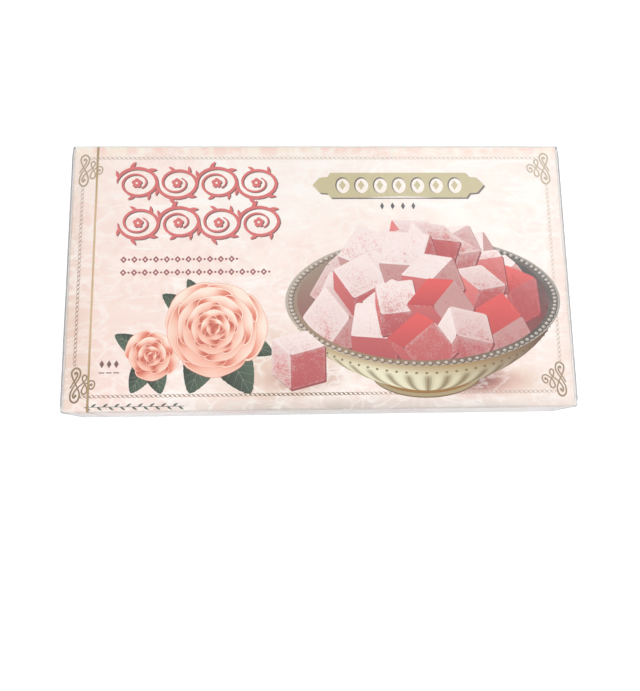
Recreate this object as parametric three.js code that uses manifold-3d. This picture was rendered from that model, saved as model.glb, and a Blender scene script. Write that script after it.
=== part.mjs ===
// A flat retail carton of sweets, shut and overwrapped in clear film.
// Millimetres, +Z up. The carton lies on its back with the printed face up: +X runs along its length,
// +Y along its width, and the origin is the middle of the underside.
import * as THREE from "three";
import { mergeVertices } from "three/addons/utils/BufferGeometryUtils.js";
import Module from "manifold-3d";

const wasm = await Module();
wasm.setup();

// Driving dimensions.
const CARTON = { length: 242.6, width: 131.5, height: 33, edgeRadius: 0.8 };
const BOARD = 0.45; // thickness of the glued flap that closes each end of the carton
const END_FLAP_INSET = 1.2; // how far that flap stays inside the end's outline
const CROWN = 0.8; // how far the middle of the printed face bows up
const SHEET = 0.2; // thickness that stands for the film and for the tape
const GAP = 0.1; // clearance between one layer and the next
const LAP_HALF = 9; // half the width of the film's lap seam, along the middle of the underside
const LAP_STEP = 2; // length over which the under edge of the lap steps in
const FOLD_DEPTH = 20; // depth of the film's folds over each end
const FOLD_CORNER = 2.5; // the long folds start this far in from the corners
const TAPE = { width: 1.2, fromEnd: 13.2 }; // gold tear tape, measured from the wrapped left end

// How finely the bowed face and the round edges are divided.
const CELLS_LONG = 14;
const CELLS_WIDE = 8;
const EDGE_FACETS = 3;
const WELD = 1e-4; // points closer than this are one point

// How far out from the carton's faces each layer lies: the tape and the lap's under edge, then the film.
const UNDER_LAYER = { from: GAP, to: GAP + SHEET };
const FILM_LAYER = { from: 2 * GAP + SHEET, to: 2 * (GAP + SHEET) };
// Over the ends the film's folds lie on each other: side tucks, then the lower flap, then the upper one.
const LOWER_FLAP = { from: FILM_LAYER.to + GAP, to: FILM_LAYER.to + GAP + SHEET };
const UPPER_FLAP = { from: LOWER_FLAP.to + GAP, to: LOWER_FLAP.to + GAP + SHEET };

const BASE = FILM_LAYER.to; // height of the carton's underside
const HALF_LENGTH = CARTON.length / 2;
const HALF_WIDTH = CARTON.width / 2;
const WRAPPED_HALF_LENGTH = HALF_LENGTH + UPPER_FLAP.to;

// A closed geometry as a manifold solid, and back again.
function solidOf(geometry) {
  const bare = geometry.index ? geometry.toNonIndexed() : geometry.clone();
  bare.deleteAttribute("normal");
  bare.deleteAttribute("uv");
  const merged = mergeVertices(bare, WELD);
  return new wasm.Manifold(
    new wasm.Mesh({
      numProp: 3,
      vertProperties: merged.attributes.position.array,
      triVerts: new Uint32Array(merged.index.array),
    }),
  );
}

function geometryOf(solid) {
  const mesh = solid.getMesh();
  const geometry = new THREE.BufferGeometry();
  geometry.setAttribute("position", new THREE.BufferAttribute(mesh.vertProperties, mesh.numProp));
  geometry.setIndex(new THREE.BufferAttribute(mesh.triVerts, 1));
  const faceted = geometry.toNonIndexed();
  faceted.computeVertexNormals();
  return faceted;
}

// Height of the bow over the flat face: none at the edges, most in the middle.
function crownAt(x, y) {
  const along = Math.min(1, Math.abs(x) / HALF_LENGTH);
  const across = Math.min(1, Math.abs(y) / HALF_WIDTH);
  return CROWN * (1 - along ** 2) * (1 - across ** 2);
}

// Lifts the upper surfaces of a geometry by the bow.
function crowned(geometry) {
  const position = geometry.getAttribute("position");
  for (let i = 0; i < position.count; i++) {
    const z = position.getZ(i);
    if (z > BASE + CARTON.height / 2) {
      position.setZ(i, z + crownAt(position.getX(i), position.getY(i)));
    }
  }
  return geometry;
}

// A box between two corners.
function block(low, high) {
  const geometry = new THREE.BoxGeometry(high[0] - low[0], high[1] - low[1], high[2] - low[2]);
  return geometry.translate((low[0] + high[0]) / 2, (low[1] + high[1]) / 2, (low[2] + high[2]) / 2);
}

// Points (y, z) once round the carton's girth, a given distance out from its faces: from startY on the
// underside towards +Y, over the top, and back along the underside to endY.
function girth(out, startY, endY) {
  const side = HALF_WIDTH + out;
  const low = BASE - out;
  const high = BASE + CARTON.height + out;
  const radius = CARTON.edgeRadius + out;
  const corner = (y, z, turn) =>
    Array.from({ length: EDGE_FACETS + 1 }, (_, i) => {
      const angle = turn + (Math.PI / 2) * (i / EDGE_FACETS);
      return new THREE.Vector2(y + radius * Math.cos(angle), z + radius * Math.sin(angle));
    });
  const top = Array.from({ length: CELLS_WIDE - 1 }, (_, i) => {
    const y = (side - radius) * (1 - (2 * (i + 1)) / CELLS_WIDE);
    return new THREE.Vector2(y, high);
  });
  return [
    new THREE.Vector2(startY, low),
    ...corner(side - radius, low + radius, -Math.PI / 2),
    ...corner(side - radius, high - radius, 0),
    ...top,
    ...corner(radius - side, high - radius, Math.PI / 2),
    ...corner(radius - side, low + radius, Math.PI),
    new THREE.Vector2(endY, low),
  ];
}

// An outline of (y, z) points extruded along X and bowed with the printed face.
function extrudedAlongX(outline, fromX, toX, steps) {
  const shape = new THREE.Shape(outline);
  const geometry = new THREE.ExtrudeGeometry(shape, { depth: toX - fromX, steps, bevelEnabled: false });
  const axes = new THREE.Matrix4().makeBasis(
    new THREE.Vector3(0, 1, 0),
    new THREE.Vector3(0, 0, 1),
    new THREE.Vector3(1, 0, 0),
  );
  return crowned(geometry.applyMatrix4(axes.setPosition(fromX, 0, 0)));
}

// A strip between an outer and an inner outline, both run the same way round.
function stripAlongX(outer, inner, fromX, toX, steps) {
  return extrudedAlongX([...outer, ...inner.reverse()], fromX, toX, steps);
}

// The folded carton: a block with round long edges and a bowed face, and the glued flap of each end.
function carton() {
  const bodyHalf = HALF_LENGTH - BOARD;
  const outline = girth(0, 0, 0).slice(0, -1);
  let solid = solidOf(extrudedAlongX(outline, -bodyHalf, bodyHalf, CELLS_LONG));
  for (const end of [-1, 1]) {
    const xs = [end * (bodyHalf - BOARD), end * HALF_LENGTH].sort((a, b) => a - b);
    const y = HALF_WIDTH - END_FLAP_INSET;
    const flap = block(
      [xs[0], -y, BASE + END_FLAP_INSET],
      [xs[1], y, BASE + CARTON.height - END_FLAP_INSET],
    );
    solid = solid.add(solidOf(flap));
  }
  return geometryOf(solid);
}

// A trapezium of film folded over an end: its root along a long edge of the end, its sides at 45 degrees.
function endFlap(end, layer, rootZ, towards) {
  const half = HALF_WIDTH - FOLD_CORNER;
  const shape = new THREE.Shape([
    new THREE.Vector2(-half, 0),
    new THREE.Vector2(half, 0),
    new THREE.Vector2(half - FOLD_DEPTH, FOLD_DEPTH),
    new THREE.Vector2(FOLD_DEPTH - half, FOLD_DEPTH),
  ]);
  const geometry = new THREE.ExtrudeGeometry(shape, { depth: layer.to - layer.from, bevelEnabled: false });
  const axes = new THREE.Matrix4().makeBasis(
    new THREE.Vector3(0, end * towards, 0),
    new THREE.Vector3(0, 0, towards),
    new THREE.Vector3(end, 0, 0),
  );
  return geometry.applyMatrix4(axes.setPosition(end * (HALF_LENGTH + layer.from), 0, rootZ));
}

// The strip of film that joins a flap to the long wall it comes from.
function foldEdge(end, layer, lowZ) {
  const half = HALF_WIDTH - FOLD_CORNER;
  const xs = [end * HALF_LENGTH, end * (HALF_LENGTH + layer.to)].sort((a, b) => a - b);
  return block([xs[0], -half, lowZ], [xs[1], half, lowZ + SHEET]);
}

// The film tucked in from one narrow side, under the two flaps.
function sideTuck(end, side) {
  const xs = [end * (HALF_LENGTH + FILM_LAYER.from), end * (HALF_LENGTH + FILM_LAYER.to)];
  const ys = [side * (HALF_WIDTH - FOLD_DEPTH), side * (HALF_WIDTH + FILM_LAYER.to)];
  xs.sort((a, b) => a - b);
  ys.sort((a, b) => a - b);
  const inset = CARTON.edgeRadius + FILM_LAYER.to;
  return block([xs[0], ys[0], BASE + inset], [xs[1], ys[1], BASE + CARTON.height - inset]);
}

// The clear overwrap: a sleeve with a lap seam along the underside, folded like an envelope at both ends.
function filmWrap() {
  const outer = girth(FILM_LAYER.to, -LAP_HALF, -LAP_HALF - LAP_STEP);
  const inner = girth(FILM_LAYER.from, -LAP_HALF, -LAP_HALF - LAP_STEP + GAP);
  const lap = (out) => [
    new THREE.Vector2(-LAP_HALF - 2 * SHEET, BASE - out),
    new THREE.Vector2(LAP_HALF, BASE - out),
  ];
  const reach = HALF_LENGTH + FILM_LAYER.to;
  const sleeve = stripAlongX(
    [...outer, ...lap(UNDER_LAYER.to)],
    [...inner, ...lap(UNDER_LAYER.from)],
    -reach,
    reach,
    CELLS_LONG,
  );
  let solid = solidOf(sleeve);
  const top = BASE + CARTON.height + FILM_LAYER.from;
  for (const end of [-1, 1]) {
    const pieces = [
      sideTuck(end, -1),
      sideTuck(end, 1),
      foldEdge(end, LOWER_FLAP, 0),
      endFlap(end, LOWER_FLAP, 0, 1),
      foldEdge(end, UPPER_FLAP, top),
      endFlap(end, UPPER_FLAP, top + SHEET, -1),
    ];
    solid = pieces.reduce((whole, piece) => whole.add(solidOf(piece)), solid);
  }
  return geometryOf(solid);
}

// The tear tape: one narrow band round the girth, inside the film, with its ends either side of the lap.
function tearTape() {
  const startY = LAP_HALF + 2 * SHEET;
  const endY = -LAP_HALF - LAP_STEP - 2 * SHEET;
  const middle = TAPE.fromEnd - WRAPPED_HALF_LENGTH;
  return stripAlongX(
    girth(UNDER_LAYER.to, startY, endY),
    girth(UNDER_LAYER.from, startY, endY),
    middle - TAPE.width / 2,
    middle + TAPE.width / 2,
    1,
  );
}

function mesh(name, geometry, material) {
  const made = new THREE.Mesh(geometry, new THREE.MeshStandardMaterial(material));
  made.name = name;
  return made;
}

const pack = new THREE.Group();
pack.name = "wrapped_carton";
pack.add(
  mesh("carton", carton(), { color: 0xf8e4dd, roughness: 0.6, metalness: 0 }),
  mesh("tear_tape", tearTape(), { color: 0xb79a62, roughness: 0.35, metalness: 0.4 }),
  mesh("film_wrap", filmWrap(), {
    color: 0xffffff,
    roughness: 0.1,
    metalness: 0,
    transparent: true,
    opacity: 0.2,
  }),
);

export default pack;
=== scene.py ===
import math
import random

import bpy
import numpy as np
from mathutils import Euler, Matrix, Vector, noise
from mathutils.geometry import convex_hull_2d, delaunay_2d_cdt

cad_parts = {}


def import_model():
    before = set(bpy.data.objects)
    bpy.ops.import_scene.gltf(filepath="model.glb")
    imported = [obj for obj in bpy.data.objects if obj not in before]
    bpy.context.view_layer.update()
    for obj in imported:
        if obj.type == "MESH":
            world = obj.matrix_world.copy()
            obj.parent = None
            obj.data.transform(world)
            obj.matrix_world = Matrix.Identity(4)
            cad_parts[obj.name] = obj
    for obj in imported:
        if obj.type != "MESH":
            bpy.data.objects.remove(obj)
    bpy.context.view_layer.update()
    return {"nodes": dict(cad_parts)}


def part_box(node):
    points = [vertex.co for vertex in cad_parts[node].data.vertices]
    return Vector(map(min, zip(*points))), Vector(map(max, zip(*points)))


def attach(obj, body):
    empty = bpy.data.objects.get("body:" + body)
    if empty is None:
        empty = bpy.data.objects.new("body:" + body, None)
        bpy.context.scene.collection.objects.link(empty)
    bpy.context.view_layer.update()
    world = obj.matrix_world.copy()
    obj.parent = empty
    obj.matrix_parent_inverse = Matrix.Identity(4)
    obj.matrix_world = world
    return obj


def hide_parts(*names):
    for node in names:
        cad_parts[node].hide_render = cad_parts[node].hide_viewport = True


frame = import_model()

# A flat carton of sweets in clear film, dressed around its solids. Sizes here are in millimetres, turned
# into metres where a mesh is made. Those of the materials, the lights and the camera are in metres.
MM = 0.001
SEED = 7

# ---------------- sizes

board_low, board_high = (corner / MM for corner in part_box("carton"))
_, film_high = (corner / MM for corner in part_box("film_wrap"))
tape_low, tape_high = (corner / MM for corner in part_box("tear_tape"))
HALF_LENGTH = board_high.x
HALF_WIDTH = board_high.y
BASE = board_low.z
CROWN = 0.8  # how far the middle of the printed face bows up
RIM = board_high.z - CROWN  # height of the printed face along its edges
MIDDLE = (BASE + RIM) / 2
BOARD = 0.45  # thickness of the glued end flaps
FLAP_INSET = 1.2
FLAP_RADIUS = 0.12
BOARD_RADIUS = 0.8
BOARD_STEP = 4.0  # spacing of the box's grid
FILM_OUT = film_high.y - HALF_WIDTH  # the film's outer surface over the carton's faces
FILM_END_OUT = film_high.x - HALF_LENGTH  # the same over the folded ends
FOLD_DEPTH = 20.0  # depth of the film's folds over each end
FOLD_CORNER = 2.5  # the long folds start this far in from the corners
FOLD_SOFT = 0.7  # width over which the film steps up at a fold's edge
LAP_HALF = 9.0  # half the width of the film's lap seam on the underside
LAP_STEP = 2.0
LAP_RISE = 0.12
FILM_STEP = 1.25  # spacing of the film's grid
FILM_SLACK = 0.06  # how far the visible film lies inside the solid one, and how much that varies
FILM_SWELL = 0.05
SWELL_SIZE = (34, 26, 20)
PULLS = 9  # pulls in the film from each corner of the face
PULL_LIMIT = 0.14
INK_LIFT = 0.03  # ink above the board, and one print above another

# ---------------- colours


def tone(red, green, blue):
    """A colour of 0 to 255 numbers as linear light."""
    parts = [v / 255 for v in (red, green, blue)]
    return tuple(v / 12.92 if v <= 0.04045 else ((v + 0.055) / 1.055) ** 2.4 for v in parts)


def mix(one, other, share):
    share = min(1.0, max(0.0, share))
    return tuple(a + (b - a) * share for a, b in zip(one, other))


WHITE = (1.0, 1.0, 1.0)
CREAM = tone(255, 247, 240)
PINK = tone(252, 228, 221)
SHELL = tone(251, 235, 229)
TAN = tone(233, 208, 192)
BLOT = tone(246, 220, 211)
VEIN = tone(255, 251, 247)
STRAW = tone(253, 242, 222)
PEACH = tone(251, 214, 200)
RAW_BOARD = tone(226, 220, 210)
TAUPE = tone(142, 114, 84)
ROSE_TAUPE = tone(178, 146, 132)
BROWN = tone(128, 97, 66)
PALE_TAUPE = tone(222, 208, 196)
PALE_GILT = tone(220, 205, 180)
ROSE_RED = tone(222, 122, 122)
ROSE_SHADOW = tone(128, 92, 92)
ROSE_BROWN = tone(160, 88, 92)
KHAKI = tone(206, 195, 158)
KHAKI_SHADOW = tone(112, 104, 104)
SLATE = tone(96, 94, 100)
GARLAND = tone(92, 98, 90)
PETAL_LIGHT = tone(255, 236, 222)
PETAL_MID = tone(248, 182, 160)
PETAL_DEEP = tone(228, 120, 98)
PETAL_SHADE = tone(205, 108, 92)
LEAF_DARK = tone(50, 58, 52)
LEAF_GREEN = tone(98, 116, 100)
LEAF_VEIN = tone(132, 144, 126)
STEEL_LEFT = tone(168, 148, 134)
STEEL_RIGHT = tone(112, 105, 101)
STEEL_LIGHT = tone(222, 214, 204)
STEEL_DARK = tone(74, 70, 69)
BRASS_LINE = tone(122, 98, 62)
BRASS_SHADE = tone(112, 86, 80)
BRASS_GOLD = tone(168, 124, 66)
BRASS = tone(190, 172, 134)
BRASS_LIGHT = tone(240, 234, 206)
GREY_CREAM = tone(208, 196, 188)
DISH_CAST = tone(206, 138, 130)
DISH_SHADE = tone(150, 92, 94)
HEAP_SHADOW = tone(158, 82, 88)
GROUND_SHADOW = tone(206, 168, 154)
SUGAR = tone(254, 245, 242)
SUGAR_SHADE = tone(206, 162, 160)
JELLY_LIGHT = tone(234, 138, 136)
JELLY_DARK = tone(180, 84, 90)
JELLY_CUT = tone(230, 104, 102)
GOLD = tone(240, 212, 152)
# the tape's gold under painted shade, near the edges of the face
GOLD_IN_SHADE = tone(150, 122, 66)
FILM_CLEAR = (0.99, 0.99, 0.985)
FILM_EDGEWAYS = (0.42, 0.42, 0.46)
# grey seen through the film: painted shade round its rounded edges, and the lines of its cut edges
FILM_SHADE_AND_SEAM_GREY = (0.3, 0.31, 0.32)
FLOOR_COLOURS = (tone(254, 254, 255), WHITE)

# ---------------- materials

NOISE = {  # scale, detail, distortion, roughness, and the two levels that become 0 and 1
    "clouds": (26, 6, 0.9, 0.55, 0.34, 0.66),
    "patches": (64, 5, 0.6, 0.55, 0.48, 0.74),
    "blots": (95, 7, 0.7, 0.62, 0.47, 0.62),
    "washes": (60, 7, 1.4, 0.65, 0.52, 0.62),
    "stains": (34, 5, 1.2, 0.55, 0.2, 0.6),
    "turned print": (115, 2, 0.0, 0.55, 0.4, 0.53),
    "gaps in the net": (45, 3, 0.0, 0.55, 0.42, 0.58),
    "printing screen": (4200, 1, 0.0, 0.55, 0.3, 0.7),
    "drawn gold": (40, 3, 0.0, 0.55, 0.35, 0.65),
}
BOARD_SHADES = (  # soft shades on the printed ground: middle and reach in metres, strength and colour
    ((-0.022, -0.046), (0.05, 0.032), 0.95, TAN),
    ((-0.121, 0.0), (0.012, 0.11), 0.75, TAN),
    ((-0.1, -0.03), (0.05, 0.045), 0.45, BLOT),
    ((-0.11, 0.0), (0.02, 0.12), 0.45, BLOT),
    ((-0.118, -0.038), (0.016, 0.045), 0.6, TAN),
    ((-0.034, 0.04), (0.045, 0.034), 0.75, VEIN),
    ((0.121, 0.01), (0.011, 0.1), 0.55, BLOT),
    ((0.02, -0.0665), (0.16, 0.009), 0.95, GREY_CREAM),
    ((0.0, 0.068), (0.2, 0.011), 0.6, BLOT),
    ((0.092, -0.0535), (0.024, 0.0105), 0.8, TAN),
    ((0.074, -0.054), (0.028, 0.01), 1.0, DISH_CAST),
    ((-0.0095, -0.0515), (0.026, 0.009), 1.0, GROUND_SHADOW),
    ((0.07, -0.053), (0.024, 0.008), 0.8, BRASS_SHADE),
)
TAPE_CORE = (0.0005, 0.0003)  # metres from the tape's middle: where the gold ends, and where it is full
SEAM_WIDTH = (0.0005, 0.0002)  # metres from a cut edge: where its line starts, and where it is full
PRINT_SHEEN = 0.35


class Shader:
    """The node tree of a material or a world, one call for each node."""

    def __init__(self, name, kind=bpy.data.materials):
        self.owner = kind.new(name)
        self.owner.use_nodes = True
        self.tree = self.owner.node_tree
        self.tree.nodes.clear()

    def add(self, kind, inputs, **settings):
        node = self.tree.nodes.new(kind)
        for key, value in settings.items():
            setattr(node, key, value)
        for key, value in inputs.items():
            self.put(node.inputs[key], value)
        return node

    def put(self, socket, value):
        if isinstance(value, bpy.types.NodeSocket):
            self.tree.links.new(value, socket)
        else:
            socket.default_value = value

    def math(self, operation, *values):
        return self.add("ShaderNodeMath", dict(enumerate(values)), operation=operation).outputs[0]

    def plus(self, one, other):
        return self.math("ADD", one, other)

    def minus(self, one, other):
        return self.math("SUBTRACT", one, other)

    def times(self, one, other):
        return self.math("MULTIPLY", one, other)

    def vector(self, operation, *values):
        node = self.add("ShaderNodeVectorMath", dict(enumerate(values)), operation=operation)
        return node.outputs["Value" if operation == "LENGTH" else "Vector"]

    def fit(self, value, low, high, start=0.0, end=1.0, curve="LINEAR"):
        """value stretched so that low becomes start and high becomes end, and held between them."""
        inputs = {"Value": value, "From Min": low, "From Max": high, "To Min": start, "To Max": end}
        return self.add("ShaderNodeMapRange", inputs, interpolation_type=curve).outputs["Result"]

    def blend(self, share, one, other):
        """A mix of two colours, each a socket or a linear RGB."""
        node = self.add("ShaderNodeMix", {0: share}, data_type="RGBA")
        for socket, value in ((node.inputs[6], one), (node.inputs[7], other)):
            self.put(socket, (*value, 1.0) if isinstance(value, tuple) else value)
        return node.outputs[2]

    def layer(self, under, colour, *shares):
        """under, with as much colour over it as the shares multiply to."""
        share = shares[0]
        for other in shares[1:]:
            share = self.times(share, other)
        return self.blend(share, under, colour)

    def cloud(self, place, scale, detail, distortion=0.0, roughness=0.55):
        inputs = {"Vector": place, "Scale": scale, "Detail": detail}
        inputs |= {"Distortion": distortion, "Roughness": roughness}
        return self.add("ShaderNodeTexNoise", inputs).outputs["Fac"]

    def pattern(self, place, name):
        """The noise of that name, from 0 to 1."""
        return self.fit(self.cloud(place, *NOISE[name][:4]), *NOISE[name][4:])

    def place(self, scale=(1, 1, 1), turn=0.0):
        coordinates = self.add("ShaderNodeTexCoord", {}).outputs["Object"]
        inputs = {"Vector": coordinates, "Scale": scale, "Rotation": (0, 0, turn)}
        return self.add("ShaderNodeMapping", inputs).outputs["Vector"]

    def axes(self, place):
        return self.add("ShaderNodeSeparateXYZ", {0: place}).outputs[:3]

    def bump(self, height, strength, distance):
        inputs = {"Height": height, "Strength": strength, "Distance": distance}
        return self.add("ShaderNodeBump", inputs).outputs["Normal"]

    def finish(self, inputs, kind="ShaderNodeBsdfPrincipled", output="ShaderNodeOutputMaterial"):
        """The material or world, with its surface a node of that kind."""
        self.add(output, {"Surface": self.add(kind, inputs).outputs[0]})
        return self.owner


def vein_net(s, still):
    """1 along a fine warped net of veins, with gaps."""
    warp = s.add("ShaderNodeTexNoise", {"Vector": still, "Scale": 90, "Detail": 4}).outputs["Color"]
    bent = s.vector("MULTIPLY_ADD", warp, (0.012, 0.012, 0), still)
    cells = s.add("ShaderNodeTexVoronoi", {"Vector": bent, "Scale": 120}, feature="DISTANCE_TO_EDGE")
    return s.times(s.fit(cells.outputs["Distance"], 0.14, 0.0), s.pattern(still, "gaps in the net"))


def marbled_board():
    """Coated board printed with a pink and cream marble, browner towards the left and the foot, and paler
    towards the upper right with a painted glare of the film.
    """
    s = Shader("marbled_board")
    still = s.place()
    slanted = s.place(scale=(0.55, 1.5, 1.0), turn=math.radians(-38))
    x, y, z = s.axes(still)
    # painted glare: the board pales from the lower left towards the upper right, and its blots thin out
    # there
    painted_glare = s.plus(s.fit(x, -0.1, 0.06), s.fit(y, -0.04, 0.06))
    cream = s.plus(s.times(s.pattern(still, "clouds"), 0.45), s.times(painted_glare, 0.32))
    colour = s.blend(cream, PINK, CREAM)
    colour = s.layer(colour, SHELL, s.pattern(still, "patches"), 0.4)
    colour = s.layer(colour, BLOT, s.pattern(still, "blots"), s.fit(painted_glare, 2.2, 0.6), 0.5)
    colour = s.layer(colour, VEIN, s.pattern(slanted, "washes"), 0.75)
    worn = s.plus(s.times(s.pattern(slanted, "stains"), 0.5), 0.5)
    for centre, radii, share, shade in BOARD_SHADES:
        away = s.vector("DIVIDE", s.vector("SUBTRACT", still, (*centre, 0)), (*radii, 1))
        soft = s.fit(s.vector("LENGTH", away), 1.0, 0.1, 0.0, share, "SMOOTHSTEP")
        colour = s.layer(colour, shade, soft, worn)
    turned = s.blend(s.pattern(s.place(scale=(1, 0.3, 1)), "turned print"), STRAW, PEACH)
    upper = s.times(s.fit(y, 0.0585, 0.0655), s.fit(z, 0.02, 0.032))
    colour = s.layer(colour, turned, upper, 0.7)
    streaks = s.math("ABSOLUTE", s.minus(s.cloud(slanted, 24, 4, 2.2), 0.5))
    colour = s.layer(colour, VEIN, s.fit(streaks, 0.03, 0.0), 0.4)
    colour = s.layer(colour, VEIN, vein_net(s, still), 0.55)
    inputs = {
        "Base Color": colour,
        "Roughness": s.fit(s.cloud(still, 300, 3), 0.0, 1.0, 0.38, 0.52),
        "Normal": s.bump(s.cloud(still, 2600, 2), 0.08, 0.0001),
        "Specular IOR Level": PRINT_SHEEN,
    }
    return s.finish(inputs)


def raw_board():
    """The cut edge of the board: pale grey pulp in fine layers."""
    s = Shader("raw_board")
    layers = s.cloud(s.place(scale=(1, 1, 6)), 900, 4)
    colour = s.blend(s.fit(layers, 0.35, 0.7), RAW_BOARD, mix(RAW_BOARD, VEIN, 0.5))
    inputs = {"Base Color": colour, "Roughness": 0.85, "Normal": s.bump(layers, 0.3, 0.0001)}
    return s.finish(inputs)


def printing_ink():
    """Printed colour from the picture's own attribute, with icing sugar where the picture asks for it."""
    s = Shader("printing_ink")
    ink = s.add("ShaderNodeVertexColor", {}, layer_name="ink").outputs
    sugar = s.add("ShaderNodeAttribute", {}, attribute_name="sugar").outputs["Fac"]
    still = s.place()
    grain = s.cloud(still, 1300, 3, roughness=0.75)
    grit = s.plus(s.times(grain, 0.65), s.times(s.cloud(still, 230, 3), 0.35))
    bare = s.plus(s.times(s.fit(sugar, 1.0, 0.0), 0.48), 0.22)
    cover = s.times(s.fit(s.minus(grit, bare), 0.0, 0.2), 0.9)
    lit = s.minus(ink["Alpha"], s.times(s.fit(grain, 0.6, 0.35), 0.16))
    white = s.blend(s.fit(lit, 0.0, 1.0), SUGAR_SHADE, SUGAR)
    colour = s.blend(cover, ink["Color"], white)
    inputs = {
        "Base Color": s.layer(colour, VEIN, s.pattern(still, "printing screen"), 0.05),
        "Roughness": 0.42,
        "Normal": s.bump(grain, 0.05, 0.00005),
        "Specular IOR Level": PRINT_SHEEN,
    }
    return s.finish(inputs)


def gold_tape():
    """Thin tape: a gold core between clear edges, with painted shade that deepens its colour near the edges
    of the face.
    """
    s = Shader("gold_tape")
    x, y, _ = s.axes(s.place())
    drawn = s.pattern(s.place(scale=(60, 1, 1)), "drawn gold")
    colour = s.blend(drawn, GOLD, mix(GOLD, BROWN, 0.2))
    # painted shade: the gold darkens, and shows more strongly, from halfway out to the edges of the face
    tape_shade = s.fit(s.math("ABSOLUTE", y), 0.5 * HALF_WIDTH * MM, HALF_WIDTH * MM)
    colour = s.layer(colour, GOLD_IN_SHADE, tape_shade, 0.6)
    middle = (tape_low.x + tape_high.x) / 2 * MM
    core = s.fit(s.math("ABSOLUTE", s.minus(x, middle)), *TAPE_CORE)
    strength = s.plus(s.times(tape_shade, 0.34), 0.32)
    inputs = {
        "Base Color": s.blend(core, VEIN, colour),
        "Roughness": 0.32,
        "Metallic": 0.15,
        "Alpha": s.plus(s.times(core, strength), 0.12),
    }
    return s.finish(inputs)


def seam_lines(s, still):
    """1 along the film's cut edges: those of the long folds over the ends, and of the lap below."""
    x, y, z = s.axes(still)
    beside = s.minus((HALF_WIDTH - FOLD_CORNER) * MM, s.math("ABSOLUTE", y))
    lines = []
    for depth in (s.minus(z, BASE * MM), s.minus(RIM * MM, z)):
        inside = s.math("MINIMUM", s.minus(FOLD_DEPTH * MM, depth), s.minus(beside, depth))
        lines.append(s.fit(s.math("ABSOLUTE", inside), *SEAM_WIDTH))
    on_end = s.fit(s.math("ABSOLUTE", x), HALF_LENGTH * MM, (HALF_LENGTH + FILM_OUT) * MM)
    folds = s.times(s.math("MAXIMUM", *lines), on_end)
    lap = s.fit(s.math("ABSOLUTE", s.plus(y, LAP_HALF * MM)), *SEAM_WIDTH)
    return s.math("MAXIMUM", folds, s.times(lap, s.fit(z, BASE * MM, 0.0)))


def clear_film():
    """Tight clear film: what lies under it shows, and it mirrors the lights with a fine ripple."""
    s = Shader("clear_film")
    still = s.place()
    normal = s.bump(s.cloud(still, 90, 3, 0.8), 0.35, 0.0006)
    glint = s.add("ShaderNodeBsdfAnisotropic", {"Color": (*WHITE, 1), "Roughness": 0.1, "Normal": normal})
    edgeways = s.add("ShaderNodeLayerWeight", {"Blend": 0.5, "Normal": normal}).outputs["Facing"]
    folds_and_edge_shade = s.add("ShaderNodeAttribute", {}, attribute_name="folds_and_edge_shade").outputs["Fac"]
    tint = s.blend(s.math("POWER", edgeways, 3.5), FILM_CLEAR, FILM_EDGEWAYS)
    # painted shade: the film greys round its rounded edges and corners, and along its cut edges
    tint = s.layer(tint, FILM_SHADE_AND_SEAM_GREY, folds_and_edge_shade, 0.9)
    tint = s.layer(tint, FILM_SHADE_AND_SEAM_GREY, seam_lines(s, still), 0.4)
    clear = s.add("ShaderNodeBsdfTransparent", {"Color": tint})
    gloss = s.plus(s.times(s.math("POWER", edgeways, 5.0), 0.5), 0.045)
    return s.finish({0: gloss, 1: clear.outputs[0], 2: glint.outputs[0]}, "ShaderNodeMixShader")


def floor_paint():
    """A plain pale floor, faintly uneven, which glows more the farther it is from the pack."""
    s = Shader("floor_paint")
    still = s.place()
    inputs = {
        "Base Color": s.blend(s.cloud(still, 3, 2), *FLOOR_COLOURS),
        "Roughness": 0.9,
        "Emission Color": (*WHITE, 1),
        "Emission Strength": s.fit(s.vector("LENGTH", still), 0.35, 1.8, 0.14, 0.75),
    }
    return s.finish(inputs)


# ---------------- the board box and the film


def crown_at(x, y):
    """Height of the bow over the printed face: none at the edges, most in the middle."""
    along = min(1.0, abs(x) / HALF_LENGTH)
    across = min(1.0, abs(y) / HALF_WIDTH)
    return CROWN * (1 - along**2) * (1 - across**2)


def grid_lines(half, radius, step, turns):
    """Grid lines along one axis of a box: evenly spaced, and then at even angles round the corner."""
    count = max(2, round(2 * (half - radius) / step))
    flat = np.linspace(radius - half, half - radius, count + 1)
    tape_shade = half - radius + radius * np.tan(np.linspace(0, math.pi / 4, turns + 1)[1:])
    return np.concatenate((-tape_shade[::-1], flat, tape_shade))


def box_surface(half, radius, step, turns=3):
    """Points, outward directions and quads of a box centred on the origin, with round edges."""
    lines = [grid_lines(h, radius, step, turns) for h in half]
    counts = [len(line) for line in lines]
    numbers, quads = {}, []
    for axis in range(3):
        u, v = (axis + 1) % 3, (axis + 2) % 3
        for end in (0, counts[axis] - 1):
            for i in range(counts[u] - 1):
                for j in range(counts[v] - 1):
                    ring = []
                    for di, dj in ((0, 0), (1, 0), (1, 1), (0, 1)):
                        key = [0, 0, 0]
                        key[axis], key[u], key[v] = end, i + di, j + dj
                        ring.append(numbers.setdefault(tuple(key), len(numbers)))
                    quads.append(ring if end else ring[::-1])
    places = np.array([[lines[a][key[a]] for a in range(3)] for key in numbers])
    core = np.clip(places, radius - np.array(half), np.array(half) - radius)
    outward = places - core
    outward /= np.linalg.norm(outward, axis=1)[:, None]
    return core + radius * outward, outward, quads


def in_scene(name, data):
    """An object with that data, in the scene."""
    made = bpy.data.objects.new(name, data)
    bpy.context.scene.collection.objects.link(made)
    return made


def mesh_object(name, points, faces, material):
    """A smooth mesh object from points in millimetres."""
    mesh = bpy.data.meshes.new(name)
    mesh.from_pydata([Vector(p) * MM for p in points], [], faces)
    mesh.validate()
    mesh.shade_smooth()
    mesh.materials.append(material)
    return in_scene(name, mesh)


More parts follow.
